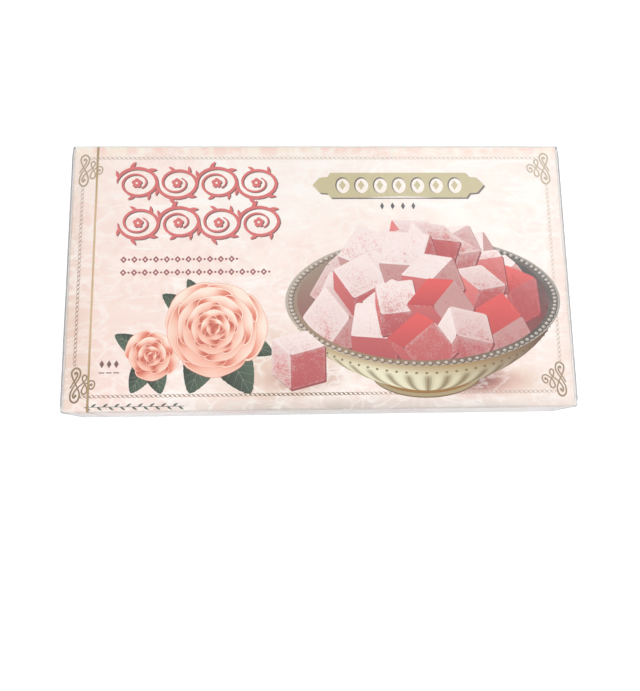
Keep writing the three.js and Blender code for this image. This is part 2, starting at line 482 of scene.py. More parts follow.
def board_box():
    """The folded box: round edges, and a printed face that bows up a little."""
    half = (HALF_LENGTH - BOARD, HALF_WIDTH, (RIM - BASE) / 2)
    points, _, quads = box_surface(half, BOARD_RADIUS, BOARD_STEP)
    points[:, 2] += MIDDLE
    for point in points:
        if point[2] > MIDDLE:
            point[2] += crown_at(point[0], point[1]) * (point[2] - MIDDLE) / (RIM - MIDDLE)
    return mesh_object("board_box", points, quads, marbled)


def end_flap(end):
    """The flap glued over one end: a thin plate whose cut edge shows the raw board."""
    half = (BOARD, HALF_WIDTH - FLAP_INSET, (RIM - BASE) / 2 - FLAP_INSET)
    points, _, quads = box_surface(half, FLAP_RADIUS, 1.5 * BOARD_STEP, turns=2)
    points += (end * (HALF_LENGTH - BOARD), 0, MIDDLE)
    flap = mesh_object("end_flap_right" if end > 0 else "end_flap_left", points, quads, marbled)
    flap.data.materials.append(raw)
    for polygon in flap.data.polygons:
        polygon.material_index = 0 if abs(polygon.normal.x) > 0.6 else 1
    return flap


def smooth_step(value, low, high):
    share = np.clip((value - low) / (high - low), 0, 1)
    return share * share * (3 - 2 * share)


def fold_relief(y, z):
    """How far the film stands out over an end: one layer more for each of the two long folds."""
    half = HALF_WIDTH - FOLD_CORNER
    relief = 0
    for depth in (z - BASE, RIM - z):
        inside = np.minimum(FOLD_DEPTH - depth, half - np.abs(y) - depth)
        relief = relief + smooth_step(inside, 0, FOLD_SOFT)
    return relief * (FILM_END_OUT - FILM_OUT) / 2


def creases(x, y, rng):
    """Shallow pulls in the film over the printed face, fanning in from the corners."""
    depth = np.zeros_like(x)
    for side_x, side_y in ((-1, -1), (-1, 1), (1, -1), (1, 1)):
        for _ in range(PULLS):
            dx = x - side_x * (HALF_LENGTH - rng.uniform(0, 18))
            dy = y - side_y * (HALF_WIDTH - rng.uniform(0, 8))
            turn = math.atan2(-side_y * rng.uniform(0.2, 1.3), -side_x)
            along = dx * math.cos(turn) + dy * math.sin(turn)
            across = dy * math.cos(turn) - dx * math.sin(turn)
            reach = rng.uniform(25, 80)
            width = rng.uniform(1.4, 3.5) * (1 + np.clip(along, 0, None) / reach)
            swell = np.sin(np.pi * np.clip(along / reach, 0, 1))
            depth += rng.uniform(0.03, 0.09) * swell * np.exp(-((across / width) ** 2))
    return depth


def film_wrap():
    """The overwrap: one closed skin, drawn tight, with end folds, a lap seam below and small pulls."""
    half = (HALF_LENGTH + FILM_OUT, HALF_WIDTH + FILM_OUT, (RIM - BASE) / 2 + FILM_OUT)
    points, outward, quads = box_surface(half, BOARD_RADIUS + FILM_OUT, FILM_STEP, turns=4)
    points[:, 2] += MIDDLE
    x, y, z = points.T.copy()
    pulls = np.minimum(creases(x, y, random.Random(SEED)), PULL_LIMIT)
    swell = np.array([noise.noise(Vector(point / SWELL_SIZE)) for point in points])
    inward = FILM_SLACK + FILM_SWELL * swell + pulls
    square = outward**2
    ends = square[:, 0]
    top = np.clip(outward[:, 2], 0, 1) ** 2
    below = np.clip(-outward[:, 2], 0, 1) ** 2
    sides = np.clip(1 - ends - top - below, 0, 1)
    lap = smooth_step(y, -LAP_HALF - LAP_STEP, -LAP_HALF) * LAP_RISE
    shift = ends * fold_relief(y, z) - top * inward - sides * inward * 0.8 - below * lap
    points += outward * shift[:, None]
    height = np.clip((z - MIDDLE) / (RIM - MIDDLE), 0, 1)
    points[:, 2] += np.array([crown_at(a, b) for a, b in zip(x, y)]) * height
    skin = mesh_object("film_skin", points, quads, film)
    # painted shade round the film's rounded edges and corners, strongest at the ends, where it also stands
    # for the extra layers of the folds
    folds_and_edge_shade = 4 * ends * (square[:, 1] + square[:, 2]) + square[:, 1] * square[:, 2]
    skin.data.attributes.new("folds_and_edge_shade", "FLOAT", "POINT").data.foreach_set("value", folds_and_edge_shade)
    return skin


# ---------------- drawing


class Picture:
    """Flat shapes in millimetres, painted in order, each over the ones before it, and made as one mesh."""

    def __init__(self):
        self.shapes = []

    def paint(self, outline, ink, sugar=(0.0, 1.0)):
        """ink is a colour, a function of (x, y) that gives one, or None to leave the board bare. sugar, or
        what it gives at (x, y), says how much icing sugar covers the shape and how brightly it is lit."""
        area = sum(a[0] * b[1] - b[0] * a[1] for a, b in zip(outline, outline[1:] + outline[:1]))
        if abs(area) > 1e-6:
            self.shapes.append((outline if area > 0 else outline[::-1], ink, sugar))

    def stroke(self, line, widths, ink):
        """A band along a line, with a width at each of its points."""
        sides = []
        for i, (x, y) in enumerate(line):
            before, after = line[max(0, i - 1)], line[min(len(line) - 1, i + 1)]
            dx, dy = after[0] - before[0], after[1] - before[1]
            size = math.hypot(dx, dy) or 1.0
            nx, ny = -dy / size * widths[i] / 2, dx / size * widths[i] / 2
            sides.append(((x + nx, y + ny), (x - nx, y - ny)))
        for (a, b), (c, d) in zip(sides, sides[1:]):
            self.paint([a, b, d, c], ink)

    def owners(self, middles):
        """The last shape painted over each of these points, or -1 where there is none."""
        owner = np.full(len(middles), -1)
        order = np.argsort(middles[:, 0])
        ranked = middles[order, 0]
        for number, (outline, _, _) in enumerate(self.shapes):
            corners = np.array(outline)
            low, high = corners.min(axis=0), corners.max(axis=0)
            near = order[np.searchsorted(ranked, low[0]) : np.searchsorted(ranked, high[0])]
            near = near[(middles[near, 1] > low[1]) & (middles[near, 1] < high[1])]
            if len(near):
                x, y = middles[near].T
                inside = np.zeros(len(near), bool)
                for (ax, ay), (bx, by) in zip(corners, np.roll(corners, -1, axis=0)):
                    crossed = (ay > y) != (by > y)
                    if crossed.any():
                        inside ^= crossed & (x < ax + (bx - ax) * (y - ay) / (by - ay))
                owner[near[inside]] = number
        return owner

    def mesh(self, name, on_face, spacing):
        """The picture on a face of the box, with points this far apart inside it to carry its shading."""
        points, edges = [], []
        for outline, _, _ in self.shapes:
            first = len(points)
            points.extend(outline)
            edges.extend((first + i, first + (i + 1) % len(outline)) for i in range(len(outline)))
        low, high = np.min(points, axis=0), np.max(points, axis=0)
        inner = [
            (x + (row % 2) * spacing / 2, y)
            for row, y in enumerate(np.arange(low[1], high[1], spacing))
            for x in np.arange(low[0], high[0], spacing)
        ]
        flat = [Vector(p) for p in points + inner]
        corners, _, triangles = delaunay_2d_cdt(flat, edges, [], 0, 1e-4, False)[:3]
        owners = self.owners(np.array(corners)[np.array(triangles)].mean(axis=1))
        kept = [(t, o) for t, o in zip(triangles, owners) if o >= 0 and self.shapes[o][1] is not None]
        used = sorted({c for t, _ in kept for c in t})
        index = {c: i for i, c in enumerate(used)}
        ink, sugar = [], []
        for triangle, owner in kept:
            _, colour, dusting = self.shapes[owner]
            for corner in triangle:
                x, y = corners[corner]
                cover, light = dusting(x, y) if callable(dusting) else dusting
                ink.extend((*(colour(x, y) if callable(colour) else colour), light))
                sugar.append(cover)
        faces = [[index[c] for c in t] for t, _ in kept]
        made = mesh_object(name, [on_face(*corners[c]) for c in used], faces, printed)
        layer = made.data.color_attributes.new("ink", "FLOAT_COLOR", "CORNER")
        layer.data.foreach_set("color", ink)
        amount = made.data.attributes.new("sugar", "FLOAT", "CORNER")
        amount.data.foreach_set("value", sugar)
        return made


def ramp(start, first, end, last):
    """Ink that changes evenly from one point to another."""
    dx, dy = end[0] - start[0], end[1] - start[1]
    size = dx * dx + dy * dy

    def ink(x, y):
        return mix(first, last, ((x - start[0]) * dx + (y - start[1]) * dy) / size)

    return ink


def curve_at(a, b, c, d, t):
    """A Catmull-Rom curve from b to c, where a comes before and d after."""
    tape_shade, twist = 2 * a - 5 * b + 4 * c - d, 3 * b - a - 3 * c + d
    return 0.5 * (2 * b + (c - a) * t + tape_shade * t**2 + twist * t**3)


def smooth_line(knots, steps, closed):
    """A smooth curve through the knots."""
    around = [knots[-1], *knots, *knots[:2]] if closed else [knots[0], *knots, knots[-1]]
    line = []
    for four in zip(around, around[1:], around[2:], around[3:]):
        line += [tuple(curve_at(*values, k / steps) for values in zip(*four)) for k in range(steps)]
    return [*line, around[-2]]


def ellipse(cx, cy, across, up, count=24, start=0.0, turn=2 * math.pi):
    """Points round an ellipse, or along part of it."""
    ends = count if turn == 2 * math.pi else count + 1
    angles = [start + turn * i / count for i in range(ends)]
    return [(cx + across * math.cos(a), cy + up * math.sin(a)) for a in angles]


def lozenge(cx, cy, across, up):
    return [(cx - across, cy), (cx, cy - up), (cx + across, cy), (cx, cy + up)]


def turned(line, cx, cy, turn):
    """The points turned about the origin, which then moves to (cx, cy)."""
    c, s = math.cos(turn), math.sin(turn)
    return [(cx + x * c - y * s, cy + x * s + y * c) for x, y in line]


def drop(cx, cy, length, width, turn):
    """A teardrop leaf from its stalk at (cx, cy)."""
    shares = np.linspace(0, 1, 7)
    upper = [(length * t, width / 2 * (math.sin(math.pi * t) ** 0.8 * (1 - 0.35 * t))) for t in shares]
    return turned(upper + [(x, -y) for x, y in upper[-2:0:-1]], cx, cy, turn)


# ---------------- the border

BORDER_CENTRE = (-0.7, 0.5)
BORDER_HALF = (115.4, 59.2)
CHAIN_REACH = (112.4, 44.7)  # how far each way from the middle the chains run, short of the flourishes
LINK = 2.2  # length of one link of the border's chain
LINK_HALF = 0.68
LINK_STEPS = 6
STRAND = (0.2, 0.66)  # width of a strand on its way out, and on its way back over the other one
FLOURISHES_AT = ((-112.3, 53.3), (110.9, 54.1), (-112.0, -53.2), (111.1, -52.8))
FLOURISH_LINE = 0.62
FLOURISH_STEPS = 6

# One corner flourish, as three pen strokes round its middle: a tall eight, the stroke that curls inside its
# upper loop, and the stroke that runs from its lower loop through a small eight into a curl.
TALL_EIGHT = [
    (-3.2, 8.0), (-4.8, 6.9), (-5.2, 5.2), (-4.5, 3.0), (-3.2, 0.4), (-1.9, -2.3), (-1.3, -4.9),
    (-2.1, -7.4), (-3.8, -8.2), (-5.4, -6.8), (-5.5, -4.1), (-4.5, -1.5), (-3.2, 0.7), (-1.7, 3.2),
    (-1.1, 5.4), (-1.7, 7.3),
]
UPPER_CURL = [(-5.6, -1.5), (-4.9, 0.0), (-4.0, 1.5), (-2.9, 3.4), (-2.4, 5.0), (-3.0, 6.0), (-3.5, 5.5)]
LOWER_CURL = [
    (-3.1, -5.0), (-3.8, -6.0), (-4.3, -4.9), (-3.6, -3.0), (-2.1, -1.1), (-0.8, 0.0), (0.4, 1.1),
    (1.6, 2.6), (1.8, 3.9), (0.9, 4.7), (-0.1, 3.8), (0.1, 2.0), (1.3, 0.0), (2.1, -2.2),
    (1.6, -3.8), (0.5, -4.3), (-0.4, -3.4), (-0.1, -1.9), (0.9, 0.0), (2.2, 1.1), (3.9, 2.0),
    (5.3, 1.5), (5.6, 0.0), (4.7, -1.7), (3.6, -1.9), (3.0, -1.1), (3.4, 0.0), (4.1, 0.1),
]


def gilt(x, y):
    """The border's ink: rosy at the left and brown in the foot's middle, with a painted glare that pales it
    towards the top and the right.
    """
    # painted glare: the ink pales towards the top and the right
    rosy = mix(ROSE_TAUPE, PALE_TAUPE, 0.6 + 0.5 * (x / HALF_LENGTH + y / HALF_WIDTH))
    return mix(rosy, BROWN, min((-48 - y) / 8, (32 - abs(x + 8)) / 12))


def flourish_ink(x, y):
    """The corner flourishes' ink, which is darkest at the lower left."""
    return mix(TAUPE, PALE_GILT, 0.36 + 0.1 * x / HALF_LENGTH + 0.22 * y / HALF_WIDTH)


def chain(picture, start, end, ink):
    """A chain of two crossing strands from one point to another."""
    dx, dy = end[0] - start[0], end[1] - start[1]
    length = math.hypot(dx, dy)
    links = round(length / LINK)
    for side in (-1, 1):
        line, widths = [], []
        for i in range(links * LINK_STEPS + 1):
            s = i / (links * LINK_STEPS)
            phase = math.pi * links * s
            off = side * LINK_HALF * math.sin(phase)
            line.append((start[0] + dx * s - dy / length * off, start[1] + dy * s + dx / length * off))
            widths.append(STRAND[0] + (STRAND[1] - STRAND[0]) * max(0.0, -side * math.cos(phase)) ** 2)
        picture.stroke(line, widths, ink)


def four_chains(picture, centre, half, reach, ink):
    """A chain on each side of a centre, half away from it and reach long each way."""
    (cx, cy), (hx, hy), (rx, ry) = centre, half, reach
    for side in (-1, 1):
        chain(picture, (cx - rx, cy + side * hy), (cx + rx, cy + side * hy), ink)
        chain(picture, (cx + side * hx, cy - ry), (cx + side * hx, cy + ry), ink)


def flourish(picture, at):
    """One corner flourish, with its tall eight towards the nearer end of the face."""
    sign = -1 if at[0] > 0 else 1
    for knots, closed in ((TALL_EIGHT, True), (UPPER_CURL, False), (LOWER_CURL, False)):
        curve = smooth_line(knots, FLOURISH_STEPS, closed)
        line = [(at[0] + sign * x, at[1] + y) for x, y in curve]
        picture.stroke(line, [FLOURISH_LINE * (1 + 0.05 * abs(y)) for _, y in curve], flourish_ink)
    for x, y in (UPPER_CURL[-1], LOWER_CURL[0], LOWER_CURL[-1]):
        picture.paint(ellipse(at[0] + sign * x, at[1] + y, 0.6, 0.7, 10), flourish_ink)


def border():
    picture = Picture()
    four_chains(picture, BORDER_CENTRE, BORDER_HALF, CHAIN_REACH, gilt)
    for at in FLOURISHES_AT:
        flourish(picture, at)
    return picture


# ---------------- the ornaments in the words' places

VINE_ROLL = 3.3 * math.pi  # how far round each stem of the vine goes
VINE_RISE = 0.8  # height of its rings to their width
VINE_STEPS = 44
VINE_LEAVES = ((0.35, 1.0, 0.42), (1.2, 1.0, 0.5), (2.1, 1.0, 0.5), (3.9, 0.9, 0.42), (4.8, 0.84, 0.42))
VINE_SPREAD = math.radians(34)  # angle between a leaf and its stem
VINE_ROWS = ((-99.6, -21.2, 46.6, 1), (-98.4, -20.0, 26.0, -1))  # left, right, level, first side
VINE_BAYS = 4
VINE_LINE = 1.5
VINE_SHADOW_AT = (0.5, -0.45)
SMALL_BANDS = ((-97.5, -38.0, 7.4), (-97.5, -24.5, 0.9))  # left, right and level
BAND_PITCH = 5.2
PLAQUE_STEPS = ((9.0, 0.0), (7.5, 2.2), (3.5, 2.6))  # corners, in from the plaque's point and edge
TITLE_PLAQUE = (39.8, 45.2, 43.0, 6.6, 7)  # middle, half its length, half its height, holes
PLAQUE_SHADOW = 0.7
PLAQUE_MARKS = (31.2, 34.2, 5.2, 4, 1.0, 1.9)  # first middle, pitch, how many, half their width and height
WEIGHT_MARKS = (-103.4, -43.5, 3.4, 3, 1.1, 1.9)
WEIGHT_DASH = (1.3, -47.6, 0.5)  # half its length, level and width
GARLAND_FROM, GARLAND_TO, GARLAND_LEVEL = -111.0, -64.5, -63.6
GARLAND_PITCH = 2.7
GARLAND_LEAVES = 17


def rosette(picture, cx, cy, size, ink):
    """Five small petals round a bare eye."""
    for i in range(5):
        turn = math.radians(90 + 72 * i)
        at = (cx + 0.55 * size * math.cos(turn), cy + 0.55 * size * math.sin(turn))
        picture.paint(ellipse(*at, 0.42 * size, 0.42 * size, 10), ink)
    picture.paint(ellipse(cx, cy, 0.24 * size, 0.24 * size, 8), None)


def vine(picture, left, right, level, bays, ink, thick, first=1):
    """A running vine of half rings, over and under by turns, each rolled up in itself round a rosette."""
    radius = (right - left) / bays / 2
    for i in range(bays):
        cx = left + (2 * i + 1) * radius
        side = first if i % 2 == 0 else -first

        def at(t, reach):
            return (cx - reach * math.cos(t), level + side * VINE_RISE * reach * math.sin(t))

        line, widths = [], []
        for t in np.linspace(0, VINE_ROLL, VINE_STEPS):
            rolled = max(0.0, t - math.pi) / (VINE_ROLL - math.pi)
            line.append(at(t, radius * (1 - 0.6 * rolled**0.85)))
            widths.append(thick * (1 - 0.6 * rolled) * (1 if i else min(1, 0.2 + 1.5 * t)))
        picture.stroke(line, widths, ink)
        rosette(picture, cx, level, radius * 0.27, ink)
        for t, reach, size in VINE_LEAVES:
            turn = side * (math.pi / 2 - t + VINE_SPREAD)
            picture.paint(drop(*at(t, radius * reach), radius * size, radius * size * 0.42, turn), ink)


def arabesque():
    """Two rows of vine with a drop shadow, in the place of the title."""
    picture = Picture()
    for (dx, dy), ink in ((VINE_SHADOW_AT, ROSE_SHADOW), ((0, 0), ROSE_RED)):
        for left, right, level, first in VINE_ROWS:
            vine(picture, left + dx, right + dx, level + dy, VINE_BAYS, ink, VINE_LINE, first)
    return picture


def small_band(picture, left, right, level, ink):
    """A thin band of lozenges with a dot between each two."""
    for i in range(round((right - left) / BAND_PITCH)):
        x = left + (i + 0.5) * BAND_PITCH
        picture.paint(lozenge(x, level, 1.55, 1.7), ink)
        picture.paint(lozenge(x, level, 0.6, 0.7), None)
        picture.paint(ellipse(x + BAND_PITCH / 2, level, 0.55, 0.55, 10), ink)


def lozenges(picture, x, y, pitch, count, across, up, ink):
    for i in range(count):
        picture.paint(lozenge(x + i * pitch, y, across, up), ink)


def cartouche(cx, cy, half, rise):
    """A long plaque whose ends step in to a rounded point."""
    below = [(half - across, up - rise) for across, up in PLAQUE_STEPS]
    one_end = [*below, (half, 0), *((x, -y) for x, y in reversed(below))]
    return [(cx + side * x, cy + side * y) for side in (1, -1) for x, y in one_end]


def pierced_plaque(picture, cx, cy, half, rise, holes):
    """A khaki plaque with a drop shadow, pierced by a row of ovals with a lozenge in each."""
    picture.paint(cartouche(cx + PLAQUE_SHADOW, cy - PLAQUE_SHADOW, half, rise), KHAKI_SHADOW)
    picture.paint(cartouche(cx, cy, half, rise), KHAKI)
    for i in range(holes):
        x = cx + (i - (holes - 1) / 2) * rise * 1.42
        picture.paint(ellipse(x, cy, 0.53 * rise, 0.64 * rise, 20), KHAKI_SHADOW)
        shift = PLAQUE_SHADOW / 2
        picture.paint(ellipse(x + shift, cy - shift, 0.49 * rise, 0.59 * rise, 20), None)
        picture.paint(lozenge(x, cy, 0.26 * rise, 0.39 * rise), KHAKI)


def title_plaque():
    """A pierced plaque and four lozenges under it."""
    picture = Picture()
    pierced_plaque(picture, *TITLE_PLAQUE)
    lozenges(picture, *PLAQUE_MARKS, SLATE)
    return picture


def small_marks():
    """Two bands under the scrolls, a garland along the foot and three lozenges beside the blossom."""
    picture = Picture()
    for left, right, level in SMALL_BANDS:
        small_band(picture, left, right, level, ROSE_BROWN)
    for i in range(GARLAND_LEAVES):
        turn = math.radians(32 if i % 2 else -32)
        picture.paint(drop(GARLAND_FROM + 0.6 + i * GARLAND_PITCH, GARLAND_LEVEL, 2.9, 1.1, turn), GARLAND)
    stem = [(x, GARLAND_LEVEL) for x in (GARLAND_FROM, GARLAND_TO)]
    picture.stroke(stem, [0.22, 0.22], GARLAND)
    lozenges(picture, *WEIGHT_MARKS, ROSE_SHADOW)
    half, level, width = WEIGHT_DASH
    for i in range(WEIGHT_MARKS[3]):
        middle = WEIGHT_MARKS[0] + i * WEIGHT_MARKS[2]
        picture.stroke([(middle - half, level), (middle + half, level)], [width, width], ROSE_SHADOW)
    return picture


# ---------------- the blossom

BLOSSOMS = (  # middle, size, petals
    ((-80.5, -39.5), 0.47, 15),
    ((-51.0, -26.8), 0.86, 27),
)
GOLDEN_TURN = math.radians(137.5)  # turn from one petal to the next
PETAL_LIGHT_FROM = math.radians(70)  # where the light on the petals comes from
LEAF_TEETH = 15
LEAVES = (  # which blossom, direction in degrees, length and width
    (0, 243, 20.0, 11.0),
    (0, 150, 20.0, 10.0),
    (0, 285, 19.0, 11.0),
    (1, 250, 33.0, 18.0),
    (1, 299, 36.0, 20.0),
    (1, 336, 31.0, 14.0),
    (1, 146, 30.0, 13.0),
    (1, 118, 27.5, 11.0),
)


def petal(cx, cy, reach, size, turn):
    """A broad petal with a soft point, reaching out from the blossom's middle."""
    line = []
    for t in np.linspace(0, 2 * math.pi, 30, endpoint=False):
        out = reach + size * (0.5 * math.cos(t) + 0.08 * max(0.0, math.cos(t)) ** 12)
        line.append((out, size * 0.74 * math.sin(t) * (1 + 0.2 * math.cos(t))))
    return turned(line, cx, cy, turn)


def petal_light(turn):
    """How much light a petal catches, from 0 to 1."""
    return 0.5 + 0.5 * math.cos(turn - PETAL_LIGHT_FROM)


def petal_ink(cx, cy, reach, size, turn, share):
    """A petal's colour: deep in its cup, paler towards its rim, and palest where it meets the light."""
    lit = petal_light(turn)

    def ink(x, y):
        out, aside = turned([(x - cx, y - cy)], 0, 0, -turn)[0]
        along, across = (out - reach) / size, aside / size
        rise = along + 0.05 * math.cos(9 * across + 7 * share) - 0.3 * across**2
        deep = mix(PETAL_DEEP, PETAL_SHADE, 0.7 * share + 0.5 * (1 - lit))
        colour = mix(deep, PETAL_MID, (rise - 0.02) / 0.26)
        return mix(colour, PETAL_LIGHT, (0.3 + 0.7 * lit) * (rise - 0.2) / 0.24)

    return ink


def leaf(picture, base, degrees, length, width):
    """A toothed leaf from its base, with its midrib and side veins."""
    turn = math.radians(degrees)

    def ink(x, y):
        _, aside = turned([(x - base[0], y - base[1])], 0, 0, -turn)[0]
        return mix(LEAF_DARK, LEAF_GREEN, aside / width + 0.5)

    edge = []
    for i in range(LEAF_TEETH + 1):
        t = i / LEAF_TEETH
        swell = math.sin(math.pi * t**0.8) ** 0.75 * width / 2
        edge.append((length * t, swell))
        if 0 < i < LEAF_TEETH:
            edge.append((length * (t + 0.02), swell * 0.93))
    picture.paint(turned(edge + [(a, -b) for a, b in edge[::-1][1:-1]], *base, turn), ink)
    picture.stroke(turned([(0, 0), (length * 0.95, 0)], *base, turn), [0.6, 0.15], LEAF_VEIN)
    for i in range(1, 8):
        along = length * i / 9
        for side in (-1, 1):
            tip = (along + width * 0.24, side * width * 0.36 * math.sin(math.pi * (i + 0.6) / 9))
            picture.stroke(turned([(along, 0), tip], *base, turn), [0.25, 0.1], LEAF_VEIN)


def blossom(picture, rng, cx, cy, grown, petals):
    """A layered blossom: petals set round by the golden turn, each smaller than the last."""
    for k in range(petals):
        share = k / (petals - 1)
        turn = k * GOLDEN_TURN + rng.uniform(-0.1, 0.1)
        reach = grown * (14.6 * (1 - share) ** 1.05 + 0.6)
        size = grown * (21 * (1 - share) ** 0.9 + 4.4) * rng.uniform(0.95, 1.05)
        lit = petal_light(turn)
        shadow = mix(PETAL_DEEP, PETAL_MID, 0.3 + 0.5 * lit)
        picture.paint(petal(cx, cy, reach + 0.06, 1.008 * size + 0.12, turn), shadow)
        picture.paint(petal(cx, cy, reach, size, turn), mix(PETAL_MID, PETAL_LIGHT, 0.5 + 0.5 * lit))
        inside = petal(cx, cy, reach - 0.01 * size, 0.965 * size, turn + 0.02)
        picture.paint(inside, petal_ink(cx, cy, reach, size, turn, share))
    angles = np.linspace(0, 8 * grown, 24)
    heart = [(cx + 0.26 * t * math.cos(t), cy + 0.26 * t * math.sin(t)) for t in angles]
    picture.stroke(heart, [0.4] * len(heart), PETAL_SHADE)


def blossoms():
    """A small blossom beside a large one, on their leaves."""
    picture = Picture()
    rng = random.Random(SEED)
    for which, degrees, length, width in LEAVES:
        leaf(picture, BLOSSOMS[which][0], degrees, length, width)
    for (cx, cy), grown, petals in BLOSSOMS:
        blossom(picture, rng, cx, cy, grown, petals)
    return picture


# ---------------- the dish of sweets

DISH_AT = (50.0, -14.0)
DISH_ACROSS = 67.0
DISH_UP = 32.0
RIM_WIDTH = 5.6
RIM_BANDS = 6
RIM_STEPS = 90
VIEW_RISE = math.asin(DISH_UP / DISH_ACROSS)  # how steeply the dish is seen from above
TOWARDS = Vector((0, -math.cos(VIEW_RISE), math.sin(VIEW_RISE)))
LIGHT = Vector((-0.5, -0.22, 0.84)).normalized()
BEADS = 52  # beads along each half of the rim
BEAD = 1.3
BEAD_PARTS = (  # shadow, body and glint: right, up, width and height to BEAD, points, tint and its share
    (0.15, -0.15, 1.0, 0.8, 12, STEEL_DARK, 0.75),
    (-0.05, 0.1, 0.82, 0.62, 12, STEEL_LIGHT, 0.45),
    (-0.25, 0.3, 0.36, 0.28, 8, STEEL_LIGHT, 1.0),
)
BOWL_TOP = DISH_ACROSS - 1.5  # radius of the bowl under the rim
BOWL_DEPTH = 35.0
BOWL_FOOT = 27.0  # radius of the bowl's foot
BOWL_ROWS = 10
BOWL_COLUMNS = 160
FOOT_HEIGHT = 4.0
LOBES = 40  # lobes round the bowl
LOBES_FROM = 0.22  # level on the bowl where they begin
DOTS_LEVEL = 0.17
SWEET = 20.5  # side of one cube
DUSTINGS = (0.05, 0.2, 0.4, 0.6, 0.8)  # how much sugar may lie on an upright face
LAYERS = (  # rings of cubes: how many, how far from the middle and how high
    (12, 44.0, 0.0),
    (7, 25.0, 3.0),
    (8, 32.0, 13.0),
    (4, 15.0, 17.0),
    (2, 9.0, 26.0),
)
LOOSE = Vector((-61.0, -13.0, -25.2))  # a cube beside the dish: right, away and up


def seen(point):
    """Where a point of the dish (right, away, up) falls in the picture."""
    y = DISH_AT[1] + point[1] * math.sin(VIEW_RISE) + point[2] * math.cos(VIEW_RISE)
    return (DISH_AT[0] + point[0], y)


def steel(angle, share):
    """Colour of the rim at an angle and a share of its width: darker on the right, with a few glints."""
    right = 0.5 + 0.5 * math.cos(angle)
    base = mix(STEEL_LEFT, STEEL_RIGHT, 1.2 * right - 0.1)
    base = mix(base, STEEL_DARK, 0.45 * max(0.0, math.sin(angle * 9 + share)) * right)
    near = max(0.0, -math.sin(angle))
    base = mix(base, BRASS_GOLD, 0.55 * near * (1 - right))
    return mix(base, STEEL_LIGHT, 0.7 * math.exp(-(((share - 0.9) / 0.12) ** 2)))


def steel_rim(picture, start):
    """Half of the flat rim, from its inner edge out, and the beads along it."""

    def edge(share):
        across = DISH_ACROSS - RIM_WIDTH * (1 - share)
        return ellipse(*DISH_AT, across, across * DISH_UP / DISH_ACROSS, RIM_STEPS, start, math.pi)

    def ink(x, y):
        dx, dy = (x - DISH_AT[0]), (y - DISH_AT[1]) * DISH_ACROSS / DISH_UP
        return steel(math.atan2(dy, dx), (math.hypot(dx, dy) - DISH_ACROSS + RIM_WIDTH) / RIM_WIDTH)

    for band in range(RIM_BANDS):
        near, far = edge(band / RIM_BANDS), edge((band + 1) / RIM_BANDS)
        for i in range(RIM_STEPS):
            picture.paint([near[i], far[i], far[i + 1], near[i + 1]], ink)
    for i in range(BEADS):
        angle = start + math.pi * (i + 0.5) / BEADS
        x, y = seen((DISH_ACROSS - RIM_WIDTH * 0.45) * Vector((math.cos(angle), math.sin(angle), 0)))
        for right, up, across, high, count, tint, share in BEAD_PARTS:
            outline = ellipse(x + right, y + up, BEAD * across, BEAD * high, count)
            picture.paint(outline, mix(steel(angle, 0.4), tint, share))


def bowl_at(angle, level):
    """A point of the bowl's outside: level 0 under the rim, 1 at the foot."""
    radius = BOWL_TOP - (BOWL_TOP - BOWL_FOOT) * level**1.6
    return seen((radius * math.cos(angle), radius * math.sin(angle), -BOWL_DEPTH * level))


def brass(angle, level):
    """Colour of the bowl's outside: pale brass lobes, gold under the rim and brown at the right."""
    light = math.exp(-(((angle + 1.95) / 0.45) ** 2))
    colour = mix(BRASS, BRASS_LIGHT, 0.2 + 0.8 * light)
    lobed = smooth_step(level, LOBES_FROM, LOBES_FROM + 0.1)
    colour = mix(colour, BRASS_LIGHT, 0.5 * lobed * abs(math.sin(LOBES * angle / 2)) ** 3)
    colour = mix(colour, BRASS_LINE, 0.75 * lobed * abs(math.cos(LOBES * angle / 2)) ** 5)
    colour = mix(colour, BRASS_GOLD, (0.2 - level) / 0.25)
    return mix(colour, BRASS_SHADE, 0.9 * (angle + 1.35) / 0.8)


def foot_ring(picture):
    """The round foot under the bowl."""
    angles = np.linspace(0, 2 * math.pi, 48)[:-1]
    for down, ink in ((1.0, BRASS_LINE), (0.85, BRASS), (0.4, BRASS_GOLD)):
        level = Vector((0, 0, -BOWL_DEPTH - FOOT_HEIGHT * down))
        ring = [BOWL_FOOT * Vector((math.cos(a), math.sin(a), 0)) for a in angles]
        picture.paint([seen(point + level) for point in ring], mix(ink, BRASS_SHADE, 0.2))


def bowl(picture):
    """The outside of the bowl, with a line of dots above its lobes."""
    width = math.pi / BOWL_COLUMNS
    angles = [-math.pi + i * width for i in range(BOWL_COLUMNS)]
    for a in sorted(angles, key=lambda a: -abs(a + math.pi / 2)):
        for row in range(BOWL_ROWS):
            low, high = row / BOWL_ROWS, (row + 1) / BOWL_ROWS
            top, foot = bowl_at(a, low), bowl_at(a, high)
            ink = ramp(top, brass(a, low), foot, brass(a, high))
            picture.paint([top, foot, bowl_at(a + width, high), bowl_at(a + width, low)], ink)
    for i in range(LOBES + 1):
        a = -math.pi + math.pi * (i + 0.5) / (LOBES + 1)
        dot = ellipse(*bowl_at(a, DOTS_LEVEL), 0.7 * abs(math.sin(a)) + 0.1, 0.6, 8)
        picture.paint(dot, mix(brass(a, DOTS_LEVEL), BRASS_LINE, 0.8))


def soft_corners(outline, cut):
    """The outline with each corner taken off by two small steps."""
    line = []
    count = len(outline)
    for i in range(count):
        before, here, after = (Vector(outline[(i + k) % count]) for k in (-1, 0, 1))
        first, last = here.lerp(before, cut), here.lerp(after, cut)
        line += [tuple(first), tuple(first.lerp(last, 0.5).lerp(here, 0.55)), tuple(last)]
    return line


def shrunk(outline, share):
    cx = sum(x for x, _ in outline) / len(outline)
    cy = sum(y for _, y in outline) / len(outline)
    return [(cx + (x - cx) * share, cy + (y - cy) * share) for x, y in outline]


